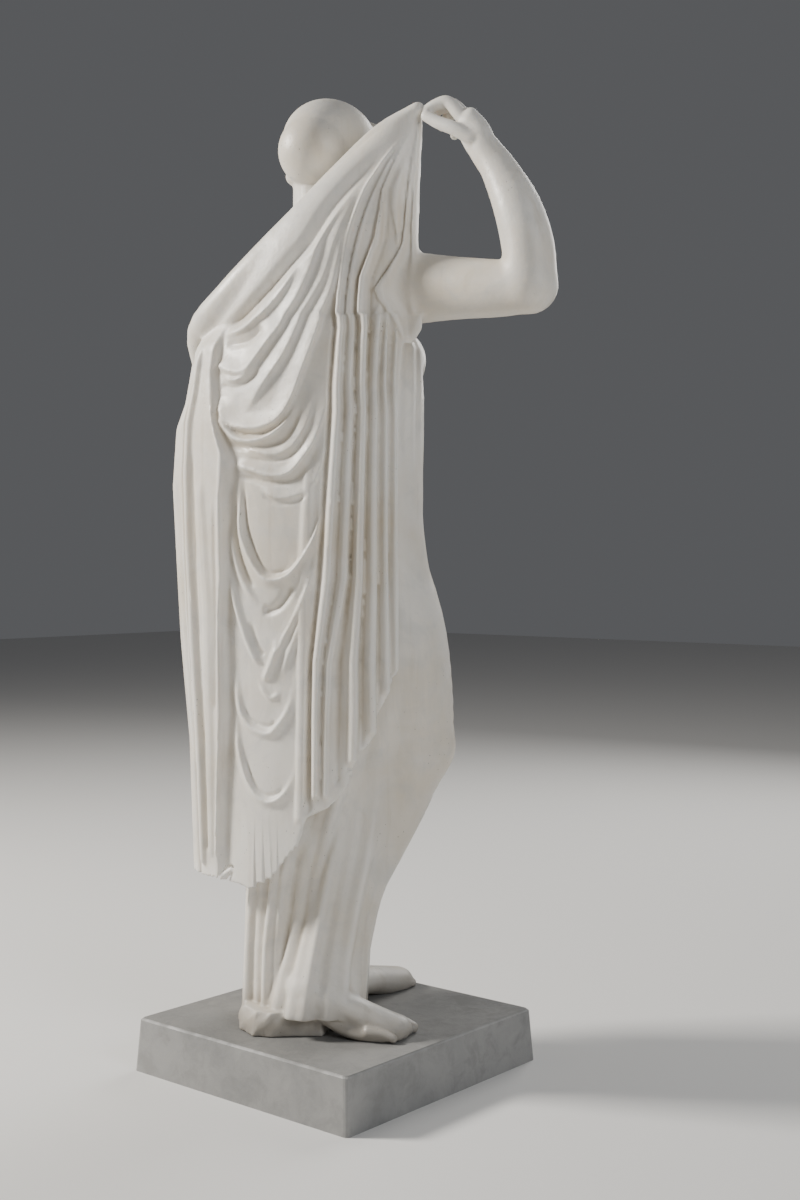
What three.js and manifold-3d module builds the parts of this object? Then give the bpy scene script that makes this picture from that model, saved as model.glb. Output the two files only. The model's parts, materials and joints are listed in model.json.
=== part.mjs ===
// A standing draped figure on its plinth. Millimetres, +Z up. The figure faces -Y, its right side is at -X,
// and the origin is the middle of the plinth's underside.
import * as THREE from "three";
import { LoftGeometry } from "three/addons/geometries/LoftGeometry.js";
import { mergeVertices } from "three/addons/utils/BufferGeometryUtils.js";
import Module from "manifold-3d";

const wasm = await Module();
wasm.setup();

// ---- plinth ----
const plinthHeight = 102;
const plinthTopSide = 540;
const plinthFootSide = 553;
const plinthEdge = 4; // worn top edge
const plinthCorner = 9;
const seam = 0.3; // gap between the figure and its plinth
const ground = plinthHeight + seam;

// ---- mantle: an oval wrap, turned a little to the left ----
const wrapCentre = [30, 50];
const wrapTurn = THREE.MathUtils.degToRad(8);
const mantleEdge = 30; // thickness at the free edge
const mantleDepth = 66; // how far its back reaches into the figure
const mantleLeftAngle = -38; // angles round the wrap: 0 is straight behind, plus is towards the right
const mantleRightAngle = 71;
const pleatStartAngle = 30;
const shoulderLine = 1425; // height where the threads leave the body for the raised hand
const pinch = [-247, 44, 1792]; // where the raised hand holds the edge
const pinchSpread = 20;
const pleatDepth = 13;
const pleatCount = 5;
const wrapStations = [
  // height, right, left, back
  [360, 255, 238, 150],
  [629, 255, 259, 156],
  [826, 255, 284, 160],
  [1000, 255, 297, 165],
  [1150, 255, 305, 166],
  [1245, 255, 297, 165],
  [1300, 256, 272, 162],
  [1370, 264, 255, 156],
  [1430, 272, 242, 148],
];
const hemStations = [
  // angle, height of the lower edge
  [-95, 372],
  [-14, 368],
  [5, 400],
  [16, 480],
  [30, 532],
  [43, 570],
  [49, 650],
  [60, 676],
  [66, 755],
  [72, 790],
];

// ---- body, dress and limbs ----
const bodyStations = [
  // height, middle x, middle y, half width, back, front
  [ground, 50, 38, 106, 130, 128],
  [250, 48, 30, 106, 132, 130],
  [400, 36, 20, 118, 136, 130],
  [560, 20, 6, 142, 132, 136],
  [750, 4, 0, 164, 132, 140],
  [900, -2, 0, 174, 126, 134],
  [1000, -2, 0, 182, 126, 136],
  [1100, -10, 0, 176, 118, 132],
  [1180, -16, 0, 170, 112, 128],
  [1290, -14, 0, 172, 118, 130],
  [1380, -8, 2, 174, 114, 132],
  [1450, 0, 8, 150, 92, 96],
  [1505, 0, 16, 112, 68, 64],
  [1540, 2, 22, 62, 46, 50],
];
const dressFolds = 11;
const dressFoldDepth = 6;

function smooth(value) {
  const t = Math.min(1, Math.max(0, value));
  return t * t * (3 - 2 * t);
}

// reads column `column` of a table at `key`, eased between its rows
function station(table, key, column) {
  if (key <= table[0][0]) return table[0][column];
  for (let i = 1; i < table.length; i++) {
    if (key > table[i][0]) continue;
    const share = (key - table[i - 1][0]) / (table[i][0] - table[i - 1][0]);
    return THREE.MathUtils.lerp(table[i - 1][column], table[i][column], share);
  }
  return table[table.length - 1][column];
}

function vector(point) {
  return new THREE.Vector3(point[0], point[1], point[2]);
}

function solid(geometry) {
  const plain = new THREE.BufferGeometry();
  plain.setAttribute("position", geometry.getAttribute("position"));
  plain.setIndex(geometry.getIndex());
  const merged = mergeVertices(plain, 1e-3);
  return new wasm.Manifold(
    new wasm.Mesh({
      numProp: 3,
      vertProperties: merged.attributes.position.array,
      triVerts: new Uint32Array(merged.index.array),
    }),
  );
}

function join(solids) {
  return solids.reduce((whole, next) => whole.add(next));
}

function loft(sections) {
  return solid(new LoftGeometry(sections, { capStart: true, capEnd: true }));
}

// a tube through the points, with a radius at each and round ends; flat squeezes it along `across`
function tube(points, radii, { sides = 10, steps = 3, flat = 1, across = [0, 0, 1] } = {}) {
  const curve = new THREE.CatmullRomCurve3(points.map(vector), false, "centripetal");
  const count = (points.length - 1) * steps;
  const sections = [];
  const lift = vector(across);
  const ring = (centre, tangent, radius) => {
    const high = lift.clone().addScaledVector(tangent, -lift.dot(tangent)).normalize();
    const side = high.clone().cross(tangent);
    const section = [];
    for (let k = 0; k < sides; k++) {
      const turn = (k / sides) * 2 * Math.PI;
      section.push(
        centre
          .clone()
          .addScaledVector(side, radius * Math.cos(turn))
          .addScaledVector(high, -radius * flat * Math.sin(turn)),
      );
    }
    sections.push(section.reverse());
  };
  for (let i = 0; i <= count; i++) {
    const t = i / count;
    const at = t * (points.length - 1);
    const before = Math.min(points.length - 2, Math.floor(at));
    const radius = THREE.MathUtils.lerp(radii[before], radii[before + 1], at - before);
    const centre = curve.getPoint(t);
    const tangent = curve.getTangent(t);
    if (i === 0) {
      ring(centre.clone().addScaledVector(tangent, -0.85 * radius), tangent, 0.5 * radius);
    }
    ring(centre, tangent, radius);
    if (i === count) {
      ring(centre.clone().addScaledVector(tangent, 0.85 * radius), tangent, 0.5 * radius);
    }
  }
  return loft(sections);
}

function ball(centre, radii, columns = 14, rows = 9) {
  const geometry = new THREE.SphereGeometry(1, columns, rows);
  geometry.scale(radii[0], radii[1], radii[2]);
  geometry.translate(centre[0], centre[1], centre[2]);
  return solid(geometry);
}

// upright column of ovals: rows of [height, x, y, half x, back, front]
function column(table, sides, heights, ripple = () => 0) {
  const sections = heights.map((z) => {
    const [x, y, half, back, front] = [1, 2, 3, 4, 5].map((c) => station(table, z, c));
    const section = [];
    for (let k = 0; k < sides; k++) {
      const turn = (k / sides) * 2 * Math.PI;
      const grow = ripple(turn, z);
      const deep = Math.sin(turn) > 0 ? back : front;
      section.push(
        new THREE.Vector3(
          x + (half + grow) * Math.cos(turn),
          y + (deep + grow) * Math.sin(turn),
          z,
        ),
      );
    }
    return section;
  });
  return loft(sections);
}

function steps(from, to, count) {
  return Array.from({ length: count + 1 }, (_, i) => from + ((to - from) * i) / count);
}

// ---- mantle surface ----
function hemHeight(angle) {
  return station(hemStations, angle, 1);
}

// point on the wrap at an angle and height, `out` beyond its surface
function wrapPoint(angle, height, out = 0) {
  const turn = THREE.MathUtils.degToRad(angle);
  const side = Math.sin(turn) < 0 ? 2 : 1;
  const across = -(station(wrapStations, height, side) + out) * Math.sin(turn);
  const back = (station(wrapStations, height, 3) + out) * Math.cos(turn);
  return new THREE.Vector3(
    wrapCentre[0] + across * Math.cos(wrapTurn) - back * Math.sin(wrapTurn),
    wrapCentre[1] + across * Math.sin(wrapTurn) + back * Math.cos(wrapTurn),
    height,
  );
}

// 0 in the valleys, 1 on the ridges of the hanging pleats, which draw together upwards
function pleat(angle, height) {
  const rise = smooth((height - 600) / 800);
  const start = THREE.MathUtils.lerp(28, 36, rise);
  const share = (angle - start) / (mantleRightAngle + 1 - start);
  if (share < 0) return 0;
  const wave = 0.5 - 0.5 * Math.cos(2 * Math.PI * pleatCount * Math.pow(share, 0.9));
  return wave;
}

// low folds that fan out from the raised hand over the shoulders
function fan(angle) {
  const wave = 0.5 - 0.5 * Math.cos(((angle - mantleLeftAngle) / 17) * 2 * Math.PI);
  return angle < pleatStartAngle ? 0.6 * wave : 0;
}

function mantleDepthAt(angle) {
  const fromEdge = smooth((mantleRightAngle - angle) / 24);
  return THREE.MathUtils.lerp(mantleEdge, mantleDepth, fromEdge);
}

function mantleBack() {
  const angles = [
    ...steps(mantleLeftAngle, pleatStartAngle, 12),
    ...steps(pleatStartAngle + 2.7, mantleRightAngle, 15),
  ];
  const innerAngles = steps(mantleRightAngle, mantleLeftAngle, 6);
  const hold = vector(pinch);
  const inward = new THREE.Vector3(0.3, -0.93, -0.15);
  const sections = [];
  const lowRows = 12;
  const highRows = 7;
  for (let row = 0; row < lowRows; row++) {
    const share = row / lowRows;
    const outside = (angle) => {
      const height = THREE.MathUtils.lerp(hemHeight(angle), shoulderLine, share);
      return wrapPoint(angle, height, pleatDepth * pleat(angle, height));
    };
    const inside = (angle) => {
      const height = THREE.MathUtils.lerp(hemHeight(angle), shoulderLine, share);
      return wrapPoint(angle, height, -mantleDepthAt(angle));
    };
    sections.push([...angles.map(outside), ...innerAngles.map(inside)]);
  }
  for (let row = 0; row <= highRows; row++) {
    const share = row / highRows;
    const thread = (angle) => {
      const foot = wrapPoint(angle, shoulderLine);
      const across = (angle - mantleLeftAngle) / (mantleRightAngle - mantleLeftAngle);
      const top = hold.clone().add(new THREE.Vector3(0, 0, pinchSpread * (0.5 - across)));
      const bow = new THREE.Vector3(0, 100, 25).multiplyScalar(1 - smooth(across));
      const middle = foot.clone().lerp(top, 0.5).add(bow);
      return new THREE.QuadraticBezierCurve3(foot, middle, top).getPoint(share);
    };
    const outside = (angle) => {
      const fold = pleat(angle, shoulderLine) + fan(angle) * smooth(4 * share);
      return thread(angle).addScaledVector(inward, -pleatDepth * fold * (1 - 0.55 * share));
    };
    const inside = (angle) => {
      const thick = THREE.MathUtils.lerp(mantleDepthAt(angle), mantleEdge, smooth(2.5 * share));
      return thread(angle).addScaledVector(inward, thick * (1 - 0.6 * share));
    };
    sections.push([...angles.map(outside), ...innerAngles.map(inside)]);
  }
  return loft(sections);
}

// a fold that hangs between two places on the wrap, each [angle, height], with its lowest place between
function swag(left, low, right, radius, lift = -0.5) {
  const places = [];
  for (const share of [-1, -0.55, -0.2, 0.2, 0.55, 1]) {
    const end = share < 0 ? left : right;
    const reach = Math.abs(share);
    places.push([low[0] + (end[0] - low[0]) * reach, low[1] + (end[1] - low[1]) * Math.pow(reach, 1.9)]);
  }
  const points = places.map(([angle, height]) => wrapPoint(angle, height, lift * radius).toArray());
  const radii = [0.6, 0.9, 1, 1, 0.9, 0.6].map((share) => share * radius);
  return tube(points, radii, { sides: 7, steps: 1 });
}

function backFolds() {
  return [
    swag([-22, 1396], [-12, 1384], [6, 1440], 20),
    swag([-21, 1345], [-11, 1316], [20, 1425], 22),
    swag([-18, 1270], [1, 1200], [32, 1385], 26),
    swag([-9, 1160], [10, 1134], [34, 1270], 22),
    swag([-6, 1135], [8, 955], [33, 1090], 22),
    swag([-14, 1040], [4, 775], [31, 990], 20),
    swag([-11, 824], [6, 676], [22, 760], 20),
    swag([-12, 644], [5, 546], [20, 610], 20),
  ];
}

// upright folds at the edge of the cloth that falls from the left arm
function longFolds() {
  const fold = (places, radius) => {
    const points = places.map(([angle, height]) => wrapPoint(angle, height, -0.5 * radius).toArray());
    return tube(points, points.map(() => radius), { sides: 8, steps: 1 });
  };
  return [
    fold([[-27, 1390], [-17, 1280], [-11, 1190], [-11, 984], [-13, 724], [-17, 405]], 28),
    fold([[-36, 1380], [-28, 1280], [-25, 1190], [-25, 984], [-28, 724], [-30, 405]], 28),
  ];
}

// the gathered border that drops from the hand beside the arm
function border() {
  const points = [[-250, 44, 1784], [-240, 42, 1680], [-232, 42, 1560], [-230, 44, 1470], [-232, 46, 1424]];
  return tube(points, [12, 19, 26, 32, 22], { sides: 8, steps: 1, across: [0, 1, 0], flat: 0.8 });
}

// the rolled upper edge, from the left arm up to the raised hand
function rolledEdge() {
  const points = [
    [232, 110, 1352],
    [190, 165, 1420],
    [105, 178, 1478],
    [25, 163, 1545],
    [-38, 135, 1612],
    [-112, 100, 1692],
    [-178, 72, 1756],
    [-240, 47, 1794],
  ];
  return tube(points, [30, 34, 32, 30, 26, 22, 18, 12], { sides: 10, steps: 1 });
}

// the mantle over the left arm, and its long fall
function leftFall() {
  const stations = [
    [372, 205, 55, 80, 100, 96],
    [629, 212, 56, 83, 102, 96],
    [826, 225, 60, 93, 104, 100],
    [984, 232, 62, 97, 106, 105],
    [1132, 238, 64, 101, 108, 110],
    [1245, 235, 64, 97, 104, 110],
    [1292, 222, 64, 89, 96, 96],
    [1370, 208, 66, 83, 90, 84],
    [1430, 196, 62, 78, 84, 72],
    [1484, 166, 56, 68, 68, 60],
    [1520, 130, 46, 60, 54, 48],
    [1536, 110, 40, 34, 30, 28],
  ];
  const heights = [372, 500, 629, 760, 880, 1000, 1090, 1150, 1220, 1292, 1370, 1430, 1484, 1520, 1536];
  const ripple = (turn, z) => 5 * Math.sin(6 * turn + z / 260) * smooth((1500 - z) / 200);
  return column(stations, 20, heights, ripple);
}

// the end of the mantle that falls in front of the left forearm
function frontFall() {
  const stations = [
    [452, 196, -48, 50, 60, 58],
    [800, 200, -58, 56, 60, 62],
    [1100, 205, -62, 60, 60, 66],
    [1215, 208, -64, 50, 60, 58],
    [1240, 210, -64, 34, 50, 40],
  ];
  const ripple = (turn, z) => 6 * Math.sin(5 * turn + z / 300);
  return column(stations, 18, [452, 620, 800, 960, 1100, 1170, 1215, 1240], ripple);
}

function dress() {
  const heights = [
    ground, 190, 320, 450, 580, 700, 800, 900, 1000, 1060, 1120, 1180, 1240, 1310, 1380, 1450, 1505, 1540,
  ];
  const ripple = (turn, z) => {
    const low = smooth((1120 - z) / 200);
    return dressFoldDepth * low * Math.sin(dressFolds * turn + Math.sin(z / 140));
  };
  return column(bodyStations, 40, heights, ripple);
}

function rightLeg() {
  const thigh = [
    [-86, 0, 1030],
    [-104, -40, 860],
    [-118, -62, 740],
    [-130, -84, 632],
  ];
  const shin = [
    [-130, -84, 625],
    [-112, -50, 520],
    [-76, 16, 380],
    [-50, 85, 250],
    [-45, 118, 190],
  ];
  const bands = [
    [870, 0.2], [770, 0.45], [690, 0.75], [650, 0.95],
  ].map(([height, share]) => {
    const x = THREE.MathUtils.lerp(-100, -130, share);
    const y = THREE.MathUtils.lerp(-30, -80, share);
    const r = THREE.MathUtils.lerp(88, 56, share);
    return tube(
      [[x - 0.2 * r, y + r, height + 30], [x - 0.85 * r, y + 0.5 * r, height], [x - r, y - 0.2 * r, height + 4],
        [x - 0.5 * r, y - 0.9 * r, height + 20], [x + 0.3 * r, y - r, height + 40]],
      [6, 12, 13, 12, 6],
      { sides: 6, steps: 1 },
    );
  });
  return [
    tube(thigh, [84, 98, 90, 70], { sides: 14, steps: 1, across: [1, 0, 0] }),
    tube(shin, [68, 56, 50, 40, 36], { sides: 12, steps: 1, across: [1, 0, 0] }),
    ...bands,
  ];
}

// the dress hem that stands out over the trailing foot
function flare() {
  const stations = [
    [138, -32, 95, 92, 88, 84],
    [165, -34, 92, 88, 84, 80],
    [240, -42, 80, 78, 74, 74],
    [340, -52, 55, 74, 72, 74],
    [460, -62, 20, 76, 76, 84],
    [600, -66, -20, 78, 80, 84],
    [700, -66, -30, 66, 70, 74],
  ];
  const ripple = (turn, z) => 6 * Math.sin(7 * turn + 1) * smooth((560 - z) / 250);
  return column(stations, 22, [138, 165, 240, 340, 460, 600, 700], ripple);
}

// rough stone left under the back hem
function support() {
  const outline = [
    [110, 60], [118, 150], [70, 196], [18, 214], [-12, 200], [-50, 160], [-84, 134], [-60, 60], [20, 20],
  ];
  const layer = (z, grow) =>
    outline.map(([x, y]) => new THREE.Vector3(x * grow, 90 + (y - 90) * grow, z));
  return loft([layer(ground, 1), layer(128, 0.98), layer(146, 0.9)]);
}

function leftFoot() {
  const rows = [
    [20, 30, 46], [-60, 32, 44], [-130, 34, 38], [-175, 39, 26], [-205, 42, 21], [-222, 38, 15],
  ];
  const sections = rows.map(([y, half, high]) =>
    Array.from({ length: 12 }, (_, k) => {
      const turn = (k / 12) * 2 * Math.PI;
      return new THREE.Vector3(
        34 + half * Math.cos(turn),
        y,
        ground + high * (0.35 + 0.65 * Math.sin(turn)),
      );
    }),
  );
  const toes = [12, 11, 10, 9.5, 9].map((radius, k) => {
    const x = 10 + 17 * k;
    const tip = -243 + 5 * k + 1.6 * k * k;
    return tube([[x, tip + 40, ground + 11], [x, tip + 18, ground + 12], [x, tip + 4, ground + 7]],
      [radius, radius, 0.85 * radius], { sides: 6, steps: 1 });
  });
  return [loft(sections), ...toes];
}

function rightFoot() {
  const spine = [[-48, 138, 190], [-80, 116, 174], [-124, 88, 150], [-162, 62, 128], [-184, 46, 120]];
  const toes = [13, 11, 10.5, 10, 9].map((radius, k) => {
    const x = -193 - 4.5 * k;
    const y = 2 + 19 * k;
    return tube([[x + 42, y + 22, ground + 19], [x + 18, y + 9, ground + 16], [x, y, ground + 9]],
      [radius + 2, radius, 0.85 * radius], { sides: 6, steps: 1 });
  });
  return [
    tube(spine, [34, 33, 33, 36, 34], { sides: 10, steps: 1, flat: 0.72 }),
    tube([[-40, 134, 170], [-80, 114, 138], [-130, 92, 116], [-176, 66, 110]], [24, 24, 30, 32],
      { sides: 8, steps: 1, flat: 0.5 }),
    ...toes,
  ];
}

function rightArm() {
  const upper = [[-110, 14, 1480], [-175, 12, 1484], [-290, 4, 1474], [-385, -3, 1464], [-448, -10, 1462]];
  const fore = [[-450, -10, 1464], [-445, -10, 1530], [-424, -8, 1600], [-388, -6, 1668], [-364, -2, 1704]];
  return [
    tube(upper, [58, 66, 56, 50, 46], { sides: 12, steps: 1, across: [0, 1, 0] }),
    tube(fore, [46, 46, 42, 33, 28], { sides: 12, steps: 1, across: [0, 1, 0] }),
  ];
}

function rightHand() {
  const finger = (points, radius) =>
    tube(points, points.map((_, k) => radius * (1 - 0.08 * k)), { sides: 7, steps: 1, across: [0, 1, 0] });
  return [
    tube([[-362, -2, 1702], [-346, 4, 1732], [-326, 10, 1762]], [27, 32, 28],
      { sides: 10, steps: 1, flat: 0.62, across: [0.5, 0.8, 0.3] }),
    finger([[-322, 16, 1768], [-296, 24, 1800], [-276, 32, 1800], [-256, 40, 1790]], 12.5),
    finger([[-320, 2, 1772], [-290, 6, 1802], [-268, 14, 1798], [-256, 22, 1782]], 12.5),
    finger([[-322, -12, 1768], [-294, -12, 1794], [-272, -4, 1786], [-264, 4, 1768]], 11.5),
    finger([[-326, -24, 1758], [-302, -28, 1778], [-284, -22, 1768], [-280, -12, 1752]], 10),
    finger([[-346, 22, 1730], [-318, 36, 1748], [-288, 42, 1762], [-262, 46, 1778]], 13.5),
  ];
}

function leftArm() {
  const fore = [[232, 60, 1205], [212, -60, 1196], [188, -160, 1198], [178, -190, 1202]];
  const hand = [];
  for (let k = 0; k < 4; k++) {
    const x = 196 - 15 * k;
    const z = 1206 + 5 * k;
    hand.push(tube([[x, -222, z + 8], [x - 8, -258, z + 4], [x - 22, -272, z - 14], [x - 26, -256, z - 30]],
      [11, 10, 9.5, 8.5], { sides: 6, steps: 1 }));
  }
  return [
    tube(fore, [50, 44, 32, 27], { sides: 10, steps: 1 }),
    tube([[178, -190, 1202], [172, -220, 1208], [166, -240, 1206]], [27, 32, 26], { sides: 8, steps: 1, flat: 0.6 }),
    tube([[150, -205, 1214], [136, -232, 1212], [132, -252, 1204]], [13, 11.5, 9.5], { sides: 6, steps: 1 }),
    ...hand,
  ];
}

const headCentre = [0, 16, 1760];

function head() {
  const [x, y, z] = headCentre;
  const face = [
    ball([x, y, z + 16], [81, 101, 85], 16, 9),
    ball([x, y - 22, z - 42], [62, 76, 82], 14, 8),
    ball([x, y - 66, z - 100], [26, 24, 20], 8, 5),
    tube([[x, y - 98, z + 8], [x, y - 112, z - 20], [x, y - 122, z - 40]], [9, 10, 12], { sides: 6, steps: 1 }),
    tube([[x - 20, y - 90, z - 66], [x, y - 102, z - 63], [x + 20, y - 90, z - 66]], [4, 7, 4], { sides: 6, steps: 1 }),
    tube([[x - 17, y - 89, z - 74], [x, y - 99, z - 77], [x + 17, y - 89, z - 74]], [4, 7, 4], { sides: 6, steps: 1 }),
  ];
  for (const side of [-1, 1]) {
    face.push(ball([x + 30 * side, y - 78, z - 8], [15, 15, 11], 8, 5));
    face.push(tube([[x + 8 * side, y - 100, z + 12], [x + 32 * side, y - 92, z + 18], [x + 54 * side, y - 70, z + 8]],
      [6, 7, 5], { sides: 6, steps: 1 }));
    const lock = [[x + 8 * side, y - 88, z + 66], [x + 48 * side, y - 76, z + 42], [x + 72 * side, y - 40, z - 2],
      [x + 66 * side, y + 14, z - 34], [x + 40 * side, y + 58, z - 48]];
    face.push(tube(lock, [14, 18, 20, 20, 16], { sides: 8, steps: 1 }));
  }
  return [
    ...face,
    ball([x - 6, y + 48, z - 6], [69, 71, 69], 16, 9), // kerchief round the gathered hair
    tube([[4, 34, 1520], [5, 32, 1600], [4, 30, 1700]], [64, 57, 58], { sides: 14, steps: 1, across: [0, 1, 0] }),
  ];
}

function breast(side) {
  return ball([78 * side, -84, 1368], [58, 56, 60], 12, 8);
}

function shoulders() {
  return tube([[-150, 14, 1478], [-80, 20, 1496], [0, 26, 1506], [80, 30, 1496], [150, 36, 1468]],
    [62, 60, 58, 60, 62], { sides: 12, steps: 1 });
}

function figure() {
  const whole = join([
    dress(), shoulders(), breast(-1), breast(1), mantleBack(), leftFall(), frontFall(), rolledEdge(), border(),
    flare(), support(), ...backFolds(), ...longFolds(), ...rightLeg(), ...leftFoot(), ...rightFoot(), ...rightArm(), ...rightHand(),
    ...leftArm(), ...head(),
  ]);
  const below = new THREE.BoxGeometry(2000, 2000, 400);
  below.translate(0, 0, ground - 200);
  return whole.subtract(solid(below));
}

function plinth() {
  const layer = (z, side) => {
    const half = side / 2;
    const section = [];
    for (let corner = 0; corner < 4; corner++) {
      for (let k = 0; k <= 3; k++) {
        const turn = ((corner + k / 3) * Math.PI) / 2;
        const across = half - plinthCorner;
        const middle = (corner + 0.5) * (Math.PI / 2);
        section.push(
          new THREE.Vector3(
            Math.sign(Math.cos(middle)) * across + plinthCorner * Math.cos(turn),
            Math.sign(Math.sin(middle)) * across + plinthCorner * Math.sin(turn),
            z,
          ),
        );
      }
    }
    return section;
  };
  return loft([
    layer(0, plinthFootSide),
    layer(plinthHeight - plinthEdge, plinthTopSide),
    layer(plinthHeight, plinthTopSide - 2 * plinthEdge),
  ]);
}

function mesh(name, body, material) {
  const data = body.getMesh();
  const geometry = new THREE.BufferGeometry();
  geometry.setAttribute("position", new THREE.BufferAttribute(data.vertProperties, 3));
  geometry.setIndex(new THREE.BufferAttribute(data.triVerts, 1));
  geometry.computeVertexNormals();
  const made = new THREE.Mesh(geometry, material);
  made.name = name;
  return made;
}

const figureMarble = new THREE.MeshStandardMaterial({ color: 0xd8cfbd, roughness: 0.5, metalness: 0 });
const plinthMarble = new THREE.MeshStandardMaterial({ color: 0x8f8d8b, roughness: 0.65, metalness: 0 });

const statue = new THREE.Group();
statue.add(mesh("figure", figure(), figureMarble));
statue.add(mesh("plinth", plinth(), plinthMarble));

export default statue;
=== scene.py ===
import json
import math

import bpy
import numpy as np
import openvdb
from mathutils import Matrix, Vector

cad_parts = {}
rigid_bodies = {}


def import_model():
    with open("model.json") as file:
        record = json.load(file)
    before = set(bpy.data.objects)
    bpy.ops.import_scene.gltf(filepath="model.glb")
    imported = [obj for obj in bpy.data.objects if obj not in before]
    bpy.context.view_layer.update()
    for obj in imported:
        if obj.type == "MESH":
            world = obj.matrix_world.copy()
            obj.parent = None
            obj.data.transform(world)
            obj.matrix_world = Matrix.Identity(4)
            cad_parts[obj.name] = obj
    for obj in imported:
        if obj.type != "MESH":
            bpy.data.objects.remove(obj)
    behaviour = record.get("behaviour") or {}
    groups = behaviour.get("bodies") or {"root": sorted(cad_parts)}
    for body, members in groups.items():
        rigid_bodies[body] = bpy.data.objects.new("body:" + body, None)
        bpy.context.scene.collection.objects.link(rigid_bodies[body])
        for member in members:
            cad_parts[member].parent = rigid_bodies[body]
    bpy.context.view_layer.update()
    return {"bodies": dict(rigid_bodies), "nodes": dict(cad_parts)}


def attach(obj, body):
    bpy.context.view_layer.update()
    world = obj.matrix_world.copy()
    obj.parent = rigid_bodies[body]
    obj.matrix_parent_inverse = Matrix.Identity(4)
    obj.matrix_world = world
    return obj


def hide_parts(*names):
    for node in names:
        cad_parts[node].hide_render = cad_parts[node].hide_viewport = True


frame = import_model()
root = next(iter(frame["bodies"]))
mm = 0.001
print("stage: frame loaded")

view = {
    "place": (-2.0376, 2.2239, 0.9864),
    "yaw": -49.84,  # degrees from +X
    "pitch": -1.52,
    "focal": 46.74,
    "sensor": 36.0,
}


def makeCamera():
    data = bpy.data.cameras.new("viewCamera")
    data.lens = view["focal"]
    data.sensor_width = view["sensor"]
    data.clip_start = 0.05
    data.clip_end = 60
    camera = bpy.data.objects.new("viewCamera", data)
    bpy.context.scene.collection.objects.link(camera)
    yaw, pitch = math.radians(view["yaw"]), math.radians(view["pitch"])
    aim = Vector((math.cos(pitch) * math.cos(yaw), math.cos(pitch) * math.sin(yaw), math.sin(pitch)))
    camera.location = view["place"]
    camera.rotation_euler = aim.to_track_quat("-Z", "Y").to_euler()
    bpy.context.scene.camera = camera


makeCamera()


def lerp(a, b, t):
    return a + (b - a) * t


def smoothStep(t):
    t = np.clip(t, 0.0, 1.0)
    return t * t * (3 - 2 * t)


def station(table, key, column):
    rows = np.array(table, float)
    return np.interp(key, rows[:, 0], rows[:, column])


def curveThrough(points, perSpan):
    # Catmull-Rom through the points, any number of columns
    p = np.array(points, float)
    p = np.vstack([2 * p[0] - p[1], p, 2 * p[-1] - p[-2]])
    out = []
    for i in range(1, len(p) - 2):
        for t in np.arange(perSpan) / perSpan:
            a, b, c, d = p[i - 1], p[i], p[i + 1], p[i + 2]
            out.append(0.5 * (2 * b + (c - a) * t + (2 * a - 5 * b + 4 * c - d) * t**2
                              + (3 * b - a - 3 * c + d) * t**3))
    out.append(p[-2])
    return np.array(out)


# The block is a grid of distances that each form is added to.
block = {
    "low": (-520.0, -310.0, 94.0),
    "high": (350.0, 262.0, 1906.0),
    "cell": 2.7,
    "reach": 5.0,  # cells of distance kept each side of a surface
}


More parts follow.
